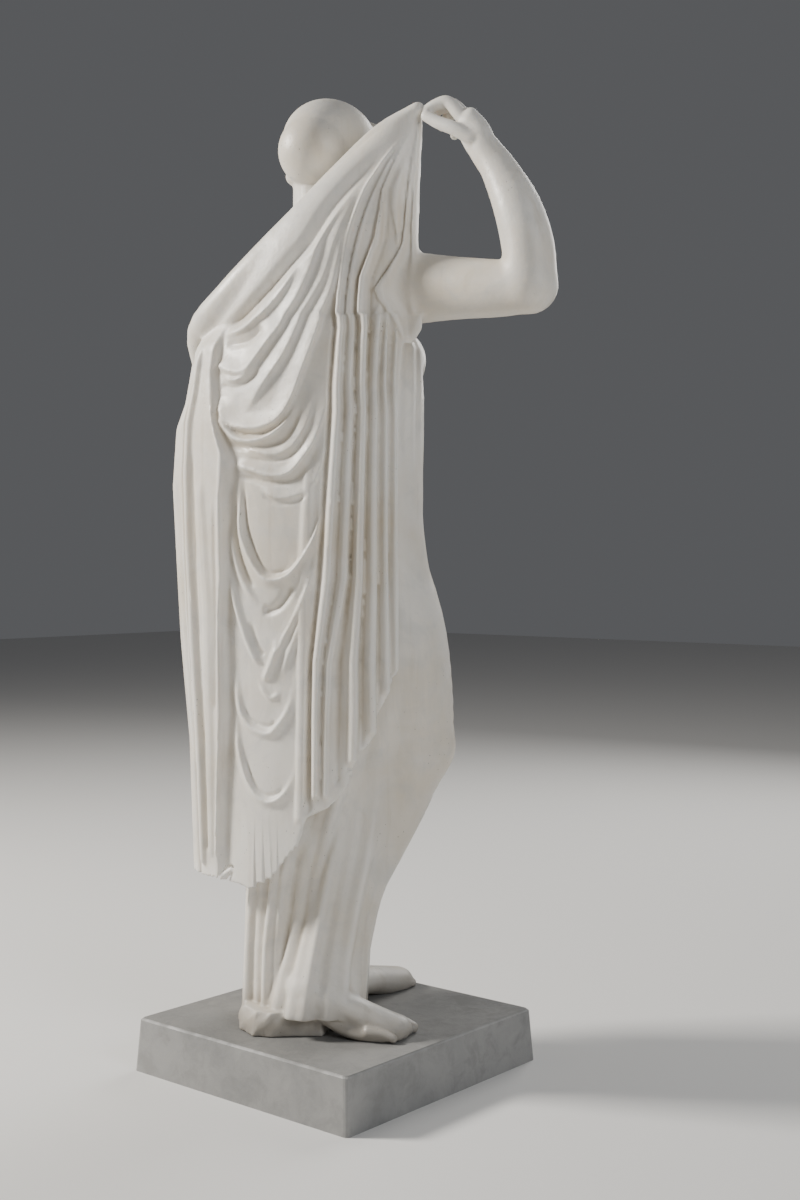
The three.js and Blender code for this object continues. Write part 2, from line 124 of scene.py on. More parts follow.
class Marble:
    def __init__(self, low, high, cell):
        self.low = np.array(low, float)
        self.cell = cell
        self.shape = tuple(int(math.ceil((h - l) / cell)) + 1 for l, h in zip(low, high))
        self.band = block["reach"] * cell
        self.grid = np.full(self.shape, self.band, np.float32)

    def window(self, low, high):
        a = np.maximum(0, np.floor((np.array(low) - self.band - self.low) / self.cell).astype(int))
        top = np.ceil((np.array(high) + self.band - self.low) / self.cell).astype(int) + 1
        b = np.minimum(self.shape, top)
        return tuple(slice(i, max(i, j)) for i, j in zip(a, b))

    def places(self, win):
        axes = [(self.low[i] + self.cell * np.arange(w.start, w.stop)).astype(np.float32)
                for i, w in enumerate(win)]
        return np.meshgrid(*axes, indexing="ij", sparse=True)

    def merge(self, win, field, blend, carve=False):
        old = self.grid[win]
        if carve:
            field = -field
            h = np.clip(0.5 - 0.5 * (old - field) / blend, 0, 1) if blend else (old < field)
            new = old + (field - old) * h + (blend * h * (1 - h) if blend else 0)
        else:
            h = np.clip(0.5 + 0.5 * (old - field) / blend, 0, 1) if blend else (field < old)
            new = old + (field - old) * h - (blend * h * (1 - h) if blend else 0)
        self.grid[win] = np.clip(new, -self.band, self.band)

    def tube(self, points, radii, blend=6.0, carve=False, flat=None, steps=4):
        # flat: (direction, share) squeezes the section along a direction
        path = np.column_stack([points, radii])
        if steps > 1:
            path = curveThrough(path, steps)
        path = path.astype(np.float32)
        big = float(path[:, 3].max())
        win = self.window(path[:, :3].min(0) - big, path[:, :3].max(0) + big)
        x, y, z = self.places(win)
        best = np.full([w.stop - w.start for w in win], 1e3, np.float32)
        for a, b in zip(path[:-1], path[1:]):
            self.segment(best, x, y, z, a, b, flat)
        self.merge(win, best, blend, carve)

    def segment(self, best, x, y, z, a, b, flat):
        # only the cells near this stretch are worked out
        reach = self.band + max(a[3], b[3]) + 2 * self.cell
        low, high = np.minimum(a[:3], b[:3]) - reach, np.maximum(a[:3], b[:3]) + reach
        cut = []
        for i, line in enumerate((x.ravel(), y.ravel(), z.ravel())):
            first = np.searchsorted(line, low[i])
            last = np.searchsorted(line, high[i])
            cut.append(slice(first, last))
        px, py, pz = x[cut[0]] - a[0], y[:, cut[1]] - a[1], z[:, :, cut[2]] - a[2]
        d = b[:3] - a[:3]
        if flat is not None:
            n = np.array(flat[0], np.float32)
            n /= np.linalg.norm(n)
            stretch = 1 / flat[1] - 1
            along = px * n[0] + py * n[1] + pz * n[2]
            px, py, pz = px + stretch * along * n[0], py + stretch * along * n[1], pz + stretch * along * n[2]
            d = d + stretch * (d @ n) * n
        t = np.clip((px * d[0] + py * d[1] + pz * d[2]) / max(float(d @ d), 1e-6), 0, 1)
        away = np.sqrt((px - t * d[0]) ** 2 + (py - t * d[1]) ** 2 + (pz - t * d[2]) ** 2)
        far = (away - (a[3] + (b[3] - a[3]) * t)) * (flat[1] if flat is not None else 1)
        part = best[tuple(cut)]
        np.minimum(part, far, out=part)

    def ball(self, centre, radii, blend=8.0, carve=False, turn=None):
        c, r = np.array(centre, np.float32), np.array(radii, np.float32)
        big = float(r.max()) if turn is not None else r
        win = self.window(c - big, c + big)
        x, y, z = self.places(win)
        px, py, pz = x - c[0], y - c[1], z - c[2]
        if turn is not None:
            m = np.array(turn.to_matrix(), np.float32)
            px, py, pz = (m[0, k] * px + m[1, k] * py + m[2, k] * pz for k in range(3))
        k0 = np.sqrt((px / r[0]) ** 2 + (py / r[1]) ** 2 + (pz / r[2]) ** 2)
        k1 = np.sqrt((px / r[0] ** 2) ** 2 + (py / r[1] ** 2) ** 2 + (pz / r[2] ** 2) ** 2)
        self.merge(win, k0 * (k0 - 1) / np.maximum(k1, 1e-6), blend, carve)

    def mesh(self, verts, quads, blend=8.0, carve=False):
        low, high = verts.min(0), verts.max(0)
        win = self.window(low, high)
        start = self.low + self.cell * np.array([w.start for w in win])
        local = ((verts - start) / self.cell).astype(np.float32)
        level = openvdb.FloatGrid.createLevelSetFromPolygons(
            local, quads=quads.astype(np.uint32), transform=openvdb.createLinearTransform(1.0),
            halfWidth=block["reach"])
        field = np.zeros([w.stop - w.start for w in win], np.float32)
        level.copyToArray(field)
        self.merge(win, field * self.cell, blend, carve)


marble = Marble(block["low"], block["high"], block["cell"])


def closedLoft(sections):
    # quads between rings, with both ends closed by a fan of flat quads
    rings = np.array(sections, float)
    rows, columns, _ = rings.shape
    verts = rings.reshape(-1, 3)
    i, j = np.meshgrid(np.arange(rows - 1), np.arange(columns), indexing="ij")
    nxt = (j + 1) % columns
    quads = np.stack([i * columns + j, i * columns + nxt, (i + 1) * columns + nxt,
    (i + 1) * columns + j], -1)
    quads = quads.reshape(-1, 4)
    first, last = len(verts), len(verts) + 1
    verts = np.vstack([verts, rings[0].mean(0), rings[-1].mean(0)])
    k = np.arange(columns)
    top = (rows - 1) * columns
    caps = np.concatenate([
        np.stack([(k + 1) % columns, k, np.full(columns, first), np.full(columns, first)], -1),
        np.stack([top + k, top + (k + 1) % columns, np.full(columns, last), np.full(columns, last)], -1),
    ])
    return verts, np.concatenate([quads, caps])


mantle = {
    "centre": (30.0, 50.0),
    "turn": math.radians(8),
    "leftAngle": -38.0,
    "rightAngle": 71.0,
    "edge": 26.0,
    "depth": 66.0,
    "shoulderLine": 1425.0,
    "handReach": 450.0,  # rows of the fan, counted on past the shoulder line
    "pinch": (-247.0, 44.0, 1792.0),
    "pinchSpread": 20.0,
    "wrap": [  # height, right, left, back
        (360, 255, 238, 150), (629, 255, 259, 156), (826, 255, 284, 160), (1000, 255, 297, 165),
        (1150, 255, 305, 166), (1245, 255, 297, 165), (1300, 256, 272, 162), (1370, 264, 255, 156),
        (1430, 272, 242, 148),
    ],
    "hem": [  # angle, height
        (-95, 372), (-24, 384), (-19, 374), (-8, 366), (-2, 378), (6, 396), (12, 430), (16, 450), (19, 462),
        (23, 515), (27, 527), (33, 535), (39, 556), (44, 586), (46.5, 630), (49, 642), (54, 655), (57, 672),
        (59, 712), (61, 722), (64, 738), (67, 772), (71, 800),
    ],
}


def wrapPoint(angle, height, out=0.0):
    turn = np.radians(angle)
    left, right = station(mantle["wrap"], height, 2), station(mantle["wrap"], height, 1)
    side = np.where(np.sin(turn) < 0, left, right)
    across = -(side + out) * np.sin(turn)
    back = (station(mantle["wrap"], height, 3) + out) * np.cos(turn)
    c, s = math.cos(mantle["turn"]), math.sin(mantle["turn"])
    return np.stack([mantle["centre"][0] + across * c - back * s,
                     mantle["centre"][1] + across * s + back * c,
                     height + 0 * across], -1)


def threadPoint(angle, share):
    # from the shoulder line (0) up to the raised hand (1)
    foot = wrapPoint(angle, mantle["shoulderLine"] + 0 * angle)
    across = (angle - mantle["leftAngle"]) / (mantle["rightAngle"] - mantle["leftAngle"])
    top = np.array(mantle["pinch"]) + np.stack(
        [0 * across, 0 * across, mantle["pinchSpread"] * (0.5 - across)], -1)
    bow = (1 - smoothStep(across))[..., None] * np.array([0.0, 100.0, 25.0])
    middle = (foot + top) / 2 + bow
    t = share[..., None]
    return foot * (1 - t) ** 2 + middle * 2 * t * (1 - t) + top * t * t


# The relief of the mantle is drawn on a sheet: across is the angle, up is the height, and past the shoulder
# line the rows go on to the hand.
sheet = {
    "low": (-42.0, 350.0),
    "high": (75.0, 1880.0),
    "step": (0.4, 1.6),
    "perDegree": 3.75,  # mm along the surface
}
sheetAngles = np.arange(sheet["low"][0], sheet["high"][0], sheet["step"][0])
sheetHeights = np.arange(sheet["low"][1], sheet["high"][1], sheet["step"][1])
ridges = np.zeros((len(sheetAngles), len(sheetHeights)))
hollows = np.zeros_like(ridges)


def strokeWindow(path, width):
    pad = np.array([width / sheet["perDegree"] * 1.2 + 1, width + 4])
    pad[0] *= 1.0 + 1.5 * (path[:, 1].max() > mantle["shoulderLine"])
    a = np.searchsorted(sheetAngles, [path[:, 0].min() - pad[0], path[:, 0].max() + pad[0]])
    b = np.searchsorted(sheetHeights, [path[:, 1].min() - pad[1], path[:, 1].max() + pad[1]])
    return slice(*a), slice(*b)


def strokeDistance(path, win):
    # distance to the line, which side of it, and how far along
    angle, height = np.meshgrid(sheetAngles[win[0]], sheetHeights[win[1]], indexing="ij")
    gathered = np.clip((height - mantle["shoulderLine"]) / mantle["handReach"], 0, 1)
    scale = sheet["perDegree"] * (1 - 0.8 * gathered)
    best = np.full(angle.shape, 1e9)
    side, along = np.zeros(angle.shape), np.zeros(angle.shape)
    spans = len(path) - 1
    for i in range(spans):
        ax, ay = (angle - path[i, 0]) * scale, height - path[i, 1]
        bx, by = (path[i + 1, 0] - path[i, 0]) * scale, path[i + 1, 1] - path[i, 1]
        t = np.clip((ax * bx + ay * by) / (bx * bx + by * by + 1e-9), 0, 1)
        d = np.hypot(ax - t * bx, ay - t * by)
        near = d < best
        best[near] = d[near]
        side[near] = np.sign(bx * ay - by * ax)[near]
        along[near] = ((i + t) / spans)[near]
    return best, side, along


def taperedEnds(along, start, end):
    rise = smoothStep(along / max(start, 1e-6)) if start else 1.0
    fall = smoothStep((1 - along) / max(end, 1e-6)) if end else 1.0
    return rise * fall


def foldSide(share, width):
    # a broad side eases down, a narrow one drops
    return np.where(width > 14, np.clip(1 - share, 0, 1) ** 1.5, 1 - smoothStep(share))


def ridge(points, height, left, right, ends=(0.12, 0.12)):
    # a fold: left and right are its widths on each side of the line, going along it
    path = curveThrough(points, 6)
    win = strokeWindow(path, max(left, right))
    d, side, along = strokeDistance(path, win)
    width = np.where(side > 0, left, right)
    rise = height * foldSide(d / width, width) * taperedEnds(along, *ends)
    ridges[win] = np.maximum(ridges[win], rise) + 0.3 * np.minimum(ridges[win], rise)


def hollow(points, depth, width, ends=(0.15, 0.15)):
    path = curveThrough(points, 6)
    win = strokeWindow(path, width)
    d, _, along = strokeDistance(path, win)
    shape = np.clip(1 - d / width, 0, 1) ** 1.4
    hollows[win] = np.maximum(hollows[win], depth * shape * taperedEnds(along, *ends))


def lineField(rows, height, across, along, sharp, ends):
    # a fold that runs with the threads: rows of (height, angle, half width) from its top to its foot
    table = np.array(rows, float)[::-1]
    middle, half = (np.interp(along, table[:, 0], table[:, c]) for c in (1, 2))
    away = np.abs(across - middle) / half
    shape = np.clip(1 - away, 0, 1) ** 1.3 if sharp else 1 - smoothStep((away - 0.25) / 0.75)
    fade = smoothStep((table[-1, 0] - along) / ends[0]) * smoothStep((along - table[0, 0]) / ends[1])
    return height * shape * fade


def lightenTowardsHand(field, heights):
    return field * (1 - 0.6 * np.clip((heights - mantle["shoulderLine"]) / mantle["handReach"], 0, 1))


pleats = {
    "crests": [  # fold height, then (height, angle, half width) from the hand to the hem
        (13, [(1840, 25, 3), (1790, 22, 3), (1750, 19.8, 2.8), (1697, 20.5, 2.8), (1650, 23, 2.8),
              (1592, 26, 3),
              (1500, 32, 2.6), (1400, 37, 2.6), (1250, 38.3, 2.8), (950, 33.5, 3), (800, 28.4, 2.8),
              (700, 27.4, 2.6), (545, 27, 2.4)]),
        (11, [(1840, 31, 3), (1790, 29, 2.8), (1750, 28, 2.6), (1697, 29, 2.6), (1650, 30.5, 2.6),
              (1592, 33, 2.8),
              (1500, 36.6, 2.6), (1400, 41.7, 3), (1250, 44.3, 2.9), (950, 41, 3), (800, 34, 2.8),
              (700, 32.6, 2.5), (545, 31.5, 2.2)]),
        (16, [(1840, 37, 2.6), (1750, 35, 2.2), (1697, 35.6, 2.2), (1650, 40.6, 2.6), (1592, 44, 3),
              (1500, 42.6, 3),
              (1400, 47.3, 2.9), (1250, 50, 3), (950, 48, 3.2), (800, 45, 3.6), (700, 44.8, 3.8),
              (610, 44, 3.4)]),
        (12, [(1460, 53.5, 2), (1400, 53.7, 3), (1250, 56, 2.9), (950, 55.3, 3.3), (800, 54, 3.7),
              (660, 54, 3.6)]),
        (13, [(1440, 58, 1.5), (1400, 58, 1.7), (1250, 61.6, 2.2), (950, 61.6, 2.2), (800, 61.8, 3),
              (735, 62, 3)]),
        (10, [(1430, 61.4, 1.2), (1380, 64.8, 1.5), (1250, 67.4, 2.2), (950, 68, 2.6), (770, 67.6, 2.6)]),
        (6, [(1180, 26, 3), (1050, 24.6, 3.6), (900, 22.6, 3.4), (760, 21.5, 3), (620, 20.5, 3),
             (500, 19.5, 3)]),
    ],
    "creases": [  # depth, then the same
        (7, [(1840, 28, 1.2), (1750, 24, 1.3), (1697, 25, 1.3), (1650, 27.4, 1.3), (1592, 30, 1.2),
             (1500, 34.5, 1),
             (1400, 39.2, 0.9), (1250, 41.4, 0.9), (950, 37.4, 0.9), (800, 31, 1), (700, 30, 1),
             (545, 29.4, 1)]),
        (10, [(1840, 34, 1.6), (1750, 31.8, 1.6), (1697, 33, 1.6), (1650, 36, 2), (1592, 38.8, 2.4),
              (1500, 39.6, 1.6),
              (1400, 44.5, 1.5), (1250, 47.3, 1.6), (950, 44.6, 1.8), (800, 39, 2.8), (700, 38, 2.8),
              (570, 37, 2.6)]),
        (10, [(1750, 38.4, 1.4), (1697, 38.6, 1.4), (1650, 44.6, 1.5), (1592, 48.2, 1.6), (1500, 45.9, 1.3),
              (1400, 50.4, 1.5), (1250, 53, 1.5), (950, 51.5, 1.6), (800, 49.4, 1.8), (640, 49.4, 1.8)]),
        (9, [(1440, 56, 1.2), (1250, 59, 1.4), (950, 58.6, 1.4), (800, 58.2, 1.4), (680, 58, 1.4)]),
        (10, [(1420, 62.7, 1.1), (1250, 64.6, 1.4), (950, 64.7, 1.4), (760, 64.8, 1.6)]),
        (9, [(1470, 31.4, 1.6), (1400, 34.4, 1.5), (1250, 35, 1.6), (1050, 31.6, 1.7), (950, 29.8, 1.7),
             (800, 25.6, 1.8), (640, 24.4, 2), (520, 23.6, 2)]),
        (2.5, [(1380, 42.4, 0.6), (1250, 45.2, 0.6), (1000, 42.2, 0.6), (820, 36, 0.6)]),
        (2.5, [(1350, 54.6, 0.6), (1250, 55.4, 0.6), (1000, 56, 0.6), (720, 55, 0.6)]),
        (2, [(1330, 49, 0.5), (1100, 50.4, 0.5), (900, 46.4, 0.5), (700, 43.4, 0.5)]),
        # the border's own valley, the leaf shaped turn and the line that curls away from its tip
        (15, [(1850, 58, 3), (1790, 54.5, 2.6), (1750, 55.6, 2.4), (1700, 57.5, 2.2), (1650, 60, 2),
              (1600, 61, 1.8), (1570, 61, 1.4)]),
        (6, [(1720, 38.6, 0.9), (1700, 39.6, 1), (1670, 43, 1.1), (1640, 49.5, 1.1),
             (1612, 54.6, 1.1), (1588, 57.6, 1)]),
        (13, [(1588, 58.8, 1.5), (1560, 57.2, 1.6), (1535, 54.6, 1.8), (1510, 52.2, 1.8), (1486, 50, 1.4)]),
    ],
    "leaf": (10, [(1780, 46, 3), (1700, 46.6, 6.6), (1660, 50, 5.8), (1625, 54.6, 3.6), (1592, 58.4, 1.5),
                  (1575, 59, 0.8)]),
}


def drawPleats():
    across, along = sheetAngles[:, None], sheetHeights[None, :]
    for height, rows in pleats["crests"] + [pleats["leaf"]]:
        field = lightenTowardsHand(lineField(rows, height, across, along, False, (60, 14)), along)
        ridges[:] = np.maximum(ridges, field)
    for depth, rows in pleats["creases"]:
        field = lightenTowardsHand(lineField(rows, depth, across, along, True, (40, 20)), along)
        hollows[:] = np.maximum(hollows, field)


def drawSwags():
    # folds that hang between the left arm and the pleats, then run up to the hand
    ridge([(-20, 1404), (-10, 1408), (-4, 1420), (1, 1440), (5, 1475), (6, 1520),
           (4, 1570)], 8, 24, 9, (0.1, 0.35))
    ridge([(-21, 1352), (-17, 1340), (-11, 1331), (-5, 1332), (1, 1358), (6, 1386), (11, 1416), (14, 1460),
           (14, 1520), (11, 1590), (12, 1670), (13, 1760)], 11, 34, 9, (0.05, 0.2))
    ridge([(-18, 1330), (-14, 1319), (-9, 1316), (-4, 1326), (0, 1345), (5, 1368)], 8, 8, 6, (0.25, 0.4))
    ridge([(-6, 1245), (-2, 1268), (3, 1298), (9, 1332), (14, 1366), (18, 1412), (21, 1460), (22.5, 1510),
           (20, 1575), (17, 1650), (15, 1740)], 9, 30, 9, (0.25, 0.2))
    ridge([(-18, 1290), (-15, 1256), (-10, 1234), (-4, 1226), (3, 1225), (10, 1234), (15, 1254), (19, 1288),
           (22, 1330), (25, 1372), (28, 1430), (29, 1475), (27, 1530), (23, 1590), (19, 1650), (17, 1740)],
          12, 34, 7, (0.06, 0.2))
    ridge([(-17, 1262), (-13, 1232), (-8, 1209), (-2, 1202), (4, 1204), (10, 1214), (15, 1232), (19, 1262),
           (22, 1300)], 12, 10, 10, (0.1, 0.4))
    ridge([(-7, 1200), (-2, 1188), (4, 1179), (10, 1175), (16, 1183), (20, 1198), (24, 1225), (27, 1268),
           (29, 1320)], 6, 22, 5, (0.15, 0.3))
    ridge([(-9, 1166), (-4, 1154), (1, 1147), (7, 1139), (13, 1137), (18, 1145), (23, 1168), (28, 1200),
           (32, 1250), (34, 1300)], 10, 18, 8, (0.12, 0.3))
    ridge([(2, 1122), (6, 1106), (11, 1097), (16, 1096), (22, 1103), (27, 1116), (31, 1152), (34, 1195),
           (36, 1240)], 6, 26, 4, (0.2, 0.3))
    ridge([(-6.5, 1146), (-6.2, 1085), (-5.4, 1040), (-3, 1004), (1, 970), (6, 950), (12, 950), (17, 960),
           (22, 984), (27, 1018), (31, 1062), (34, 1110)], 11, 6, 20, (0.2, 0.25))
    ridge([(-10, 1060), (-9.4, 1012), (-7, 966), (-3, 928), (2, 898)], 7, 8, 10, (0.25, 0.3))
    ridge([(-12, 1000), (-10.5, 950), (-9, 905), (-6, 862), (-3, 826), (0, 802), (3, 790)], 9, 9, 9,
           (0.25, 0.2))
    ridge([(31, 1030), (28, 982), (25, 940), (22, 912), (18, 880), (14, 850), (11, 828), (8, 798), (5, 770),
           (3, 758)], 9, 9, 12, (0.3, 0.15))
    ridge([(24, 900), (19, 846), (15, 806), (12, 770)], 5, 9, 8, (0.3, 0.3))
    ridge([(0, 768), (3, 746), (6, 732), (9, 733), (12, 748)], 5, 8, 6, (0.3, 0.3))
    ridge([(-10.5, 790), (-9.5, 742), (-7.5, 704), (-4, 680), (1, 669), (6, 667), (10, 682),
           (14, 706), (17, 738), (20, 790)], 8, 7, 14, (0.2, 0.35))
    ridge([(-11, 716), (-10.4, 660), (-9, 625), (-6.5, 590), (-3, 562), (1, 546), (5, 540), (9, 545),
           (13, 560), (17, 590), (20, 640)], 9, 6, 16, (0.2, 0.35))


def drawHollows():
    hollow([(9, 1790), (8, 1745), (5, 1693), (4, 1650), (5, 1612), (5, 1580), (2, 1552), (-1, 1520),
            (-4, 1490), (-9, 1455), (-15, 1425), (-21, 1408)], 15, 26)
    hollow([(-19, 1386), (-10, 1384), (-3, 1392), (2, 1412)], 6, 14)
    hollow([(-19, 1312), (-14, 1304), (-9, 1303), (-3, 1314), (2, 1334)], 5, 9)
    hollow([(-13, 1244), (-8, 1219), (-2, 1213), (4, 1214), (10, 1223), (15, 1241), (19, 1272)], 6, 5)
    hollow([(-12, 1206), (-6, 1192), (2, 1190), (8, 1192), (14, 1202), (19, 1228), (22, 1262)], 7, 8)
    hollow([(-4, 1172), (3, 1166), (10, 1164), (16, 1170), (21, 1188), (25, 1218)], 5, 5)
    hollow([(-8, 1142), (0, 1133), (8, 1125), (15, 1126), (21, 1136), (26, 1160), (30, 1196)], 7, 9)
    hollow([(3, 1108), (9, 1090), (14, 1086), (20, 1090), (26, 1104)], 4, 5)
    hollow([(-5, 1140), (-4.4, 1085), (-3.6, 1045), (-1, 1010), (3, 976), (7, 962), (12, 962),
            (17, 974)], 6, 5)
    hollow([(-8.6, 1110), (-8.2, 1050), (-7, 1000), (-4, 958), (0, 930)], 6, 7)
    hollow([(3, 892), (7, 892), (11, 900), (15, 920), (18, 942)], 10, 13)
    hollow([(24, 955), (20, 905), (16, 870), (12, 842), (9.5, 812)], 7, 8)
    hollow([(-3, 872), (-1, 842), (2, 818), (4, 810)], 5, 8)
    hollow([(-8, 716), (-4, 692), (1, 681), (6, 680), (9, 692)], 5, 5)
    hollow([(-7, 622), (-4, 582), (1, 556), (5, 551), (9, 556), (13, 572)], 5, 5)


longFall = {
    "edge": [  # where the fall from the left arm ends: angle, height
        (-20, 1420), (-21, 1337), (-18, 1275), (-15, 1235), (-11, 1195), (-8, 1165), (-8.6, 1140),
        (-10.5, 1103),
        (-10.6, 1030), (-10.4, 950), (-13, 870), (-13.4, 700), (-16, 620), (-18.5, 520), (-20.5, 440),
        (-21, 370),
    ],
    "rise": 15.0,
    "crests": [
        (8, [(1400, -31.5, 2.2), (1250, -31, 2.4), (1100, -31.5, 2.2), (900, -31.5, 2.4), (700, -32, 2.6),
             (400, -33.5, 2.6)]),
        (7, [(1340, -20.6, 1.6), (1260, -18, 1.8), (1180, -12, 2), (1100, -13, 1.8), (950, -13.5, 2),
             (800, -15.6, 2), (640, -17.6, 2), (420, -22, 2.2)]),
        (4, [(1150, -24, 3), (900, -22, 3.4), (600, -25, 3.4), (420, -27, 3)]),
    ],
    "creases": [
        (8, [(1300, -35.4, 1.6), (1000, -35.4, 1.8), (700, -35.8, 1.8), (400, -36.4, 1.8)]),
        (5, [(1200, -28.4, 1.4), (1000, -28, 1.4), (700, -28.8, 1.6), (430, -30.4, 1.6)]),
        (4, [(1100, -16.4, 1.2), (900, -17, 1.4), (700, -20, 1.4)]),
    ],
}


def drawLongFall():
    # the broad fall from the left arm lies over the swags, with a step along its edge
    across, along = sheetAngles[:, None], sheetHeights[None, :]
    edge = np.array(longFall["edge"][::-1], float)
    inside = (np.interp(sheetHeights, edge[:, 1], edge[:, 0])[None, :] - across) * sheet["perDegree"]
    over = smoothStep(inside / 9) * smoothStep((1425 - along) / 50)
    raised = np.full(over.shape, longFall["rise"])
    for height, rows in longFall["crests"]:
        raised += lineField(rows, height, across, along, False, (50, 14))
    for depth, rows in longFall["creases"]:
        raised -= lineField(rows, depth, across, along, True, (50, 14))
    ridges[:] = ridges * (1 - over) + raised * over
    hollows[:] = hollows * (1 - over)


drawSwags()
drawHollows()
drawPleats()
drawLongFall()
relief = ridges - hollows


def reliefAt(angle, height):
    i = np.clip((angle - sheet["low"][0]) / sheet["step"][0], 0, len(sheetAngles) - 1.001)
    j = np.clip((height - sheet["low"][1]) / sheet["step"][1], 0, len(sheetHeights) - 1.001)
    i0, j0 = i.astype(int), j.astype(int)
    fi, fj = i - i0, j - j0
    return (relief[i0, j0] * (1 - fi) * (1 - fj) + relief[i0 + 1, j0] * fi * (1 - fj)
            + relief[i0, j0 + 1] * (1 - fi) * fj + relief[i0 + 1, j0 + 1] * fi * fj)


def mantleCloth():
    angles = np.linspace(mantle["leftAngle"], mantle["rightAngle"], 260)
    inner = np.linspace(mantle["rightAngle"], mantle["leftAngle"], 24)
    fine = 3.6
    sections = []
    hem = station(mantle["hem"], angles, 1)
    hemInner = station(mantle["hem"], inner, 1)
    depth = lerp(mantle["edge"], mantle["depth"], smoothStep((mantle["rightAngle"] - inner) / 24))
    rows = int((mantle["shoulderLine"] - 400) / fine)
    for share in np.arange(rows) / rows:
        height = lerp(hem, mantle["shoulderLine"], share)
        out = wrapPoint(angles, height, reliefAt(angles, height))
        low = wrapPoint(inner, lerp(hemInner, mantle["shoulderLine"], share), -depth)
        sections.append(np.vstack([out, low]))
    inward = np.array([0.3, -0.93, -0.15])
    for share in np.linspace(0, 1, int(mantle["handReach"] / fine)):
        lift = reliefAt(angles, mantle["shoulderLine"] + mantle["handReach"] * share + 0 * angles)
        out = threadPoint(angles, share + 0 * angles) - inward * (lift * (1 - 0.6 * share))[:, None]
        thick = lerp(depth, mantle["edge"], smoothStep(2.5 * share)) * (1 - 0.6 * share)
        low = threadPoint(inner, share + 0 * inner) + inward * thick[:, None]
        sections.append(np.vstack([out, low]))
    return closedLoft(sections)


border = {
    "left": [(1378, 70), (1390, 67), (1405, 63.5), (1420, 60.5), (1440, 57), (1455, 53), (1480, 49.6),
             (1500, 52), (1540, 57), (1575, 61.5), (1600, 62.5), (1700, 60), (1790, 57.5), (1860, 60)],
    "right": [(1378, 78), (1400, 81), (1500, 80.5), (1560, 77.5), (1600, 75), (1700, 73), (1790, 72),
              (1860, 71)],
    "lift": [  # across the strip: lip, sunk face, bright outer fold, edge
        (0, 7), (0.12, 9), (0.3, 1), (0.5, -3), (0.66, 5), (0.8, 15), (0.92, 12), (1, 3)],
    "thick": 20.0,
}


def clothPoint(angle, height, out):
    share = np.clip((height - mantle["shoulderLine"]) / mantle["handReach"], 0, 1)
    low = wrapPoint(angle, np.minimum(height, mantle["shoulderLine"]), out)
    inward = np.array([0.3, -0.93, -0.15])
    high = threadPoint(angle, share) - inward * (out * (1 - 0.5 * share))[..., None]
    # past the side the cloth faces the raised arm
    return np.where((height > mantle["shoulderLine"])[..., None], high, low)


def borderCloth():
    # the free edge below the hand, which widens to a small lobe
    sections = []
    t = np.linspace(0, 1, 30)
    for height in np.linspace(1376, 1858, 110):
        left, right = station(border["left"], height, 1), station(border["right"], height, 1)
        angle = left + (right - left) * t
        ragged = 4 * math.sin(height * 0.5) * smoothStep((1392 - height) / 14)
        full = smoothStep((height - 1372) / 30)
        flatter = 1 - 0.3 * smoothStep((height - 1600) / 200)
        lift = np.interp(t, *np.array(border["lift"], float).T) * full * flatter
        where = np.full(t.shape, height + 0.0)
        outer = clothPoint(angle, where, lift + ragged)
        inner = clothPoint(angle[::-1], where, 0 * t - border["thick"] * lerp(0.4, 1.0, full))
        sections.append(np.vstack([outer, inner]))
    return closedLoft(sections)


print("stage: mantle relief drawn")


def columnMesh(table, sides, step, ripple):
    heights = np.append(np.arange(table[0][0], table[-1][0], step), table[-1][0])
    turn = np.arange(sides) / sides * 2 * np.pi
    sections = []
    for z in heights:
        x, y, half, back, front = (station(table, z, c) for c in range(1, 6))
        grow = ripple(turn, z)
        deep = np.where(np.sin(turn) > 0, back, front)
        sections.append(np.stack([x + (half + grow) * np.cos(turn), y + (deep + grow) * np.sin(turn),
                                  z + 0 * turn], -1))
    return closedLoft(sections)


dress = {
    "stations": [  # height, x, y, half width, back, front
        (102.3, 50, 38, 106, 130, 128), (250, 48, 30, 106, 132, 130), (400, 36, 20, 118, 136, 130),
        (560, 20, 6, 142, 132, 136), (750, 4, 0, 164, 132, 140), (900, -2, 0, 174, 126, 134),
        (1000, -2, 0, 182, 126, 136), (1100, -10, 0, 176, 118, 132), (1180, -16, 0, 170, 112, 128),
        (1290, -14, 0, 172, 118, 130), (1380, -8, 2, 174, 114, 132), (1450, 0, 8, 150, 92, 96),
        (1505, 0, 16, 112, 68, 64), (1540, 2, 22, 62, 46, 50),
    ],
    "folds": 11,
    "foldDepth": 6.0,
    "fineFolds": 26,
}


def dressRipple(turn, z):
    low = smoothStep((1120 - z) / 200)
    deep = 4.0 + 5.0 * smoothStep((800 - z) / 500)
    broad = dress["foldDepth"] * np.sin(dress["folds"] * turn + math.sin(z / 140))
    fine = deep * (np.abs(np.sin(dress["fineFolds"] / 2 * turn + 0.8 * math.sin(z / 210) + 0.6)) - 0.6)
    upper = 2.2 * np.sin(22 * turn + math.sin(z / 60)) * smoothStep((z - 1120) / 100)
    return (broad + fine) * low + upper


leftFall = {
    "stations": [
        (372, 205, 55, 80, 100, 96), (629, 212, 56, 83, 102, 96), (826, 225, 60, 93, 104, 100),
        (984, 232, 62, 97, 106, 105), (1132, 238, 64, 101, 108, 110), (1245, 235, 64, 97, 104, 110),
        (1292, 222, 64, 89, 96, 96), (1370, 208, 66, 83, 90, 84), (1430, 196, 62, 78, 84, 72),
        (1484, 166, 56, 68, 68, 60), (1520, 130, 46, 60, 54, 48), (1536, 110, 40, 34, 30, 28),
    ],
}


def leftRipple(turn, z):
    soft = smoothStep((1500 - z) / 200)
    return (5 * np.sin(6 * turn + z / 260) + 3 * np.sin(13 * turn + z / 170 + 1)) * soft


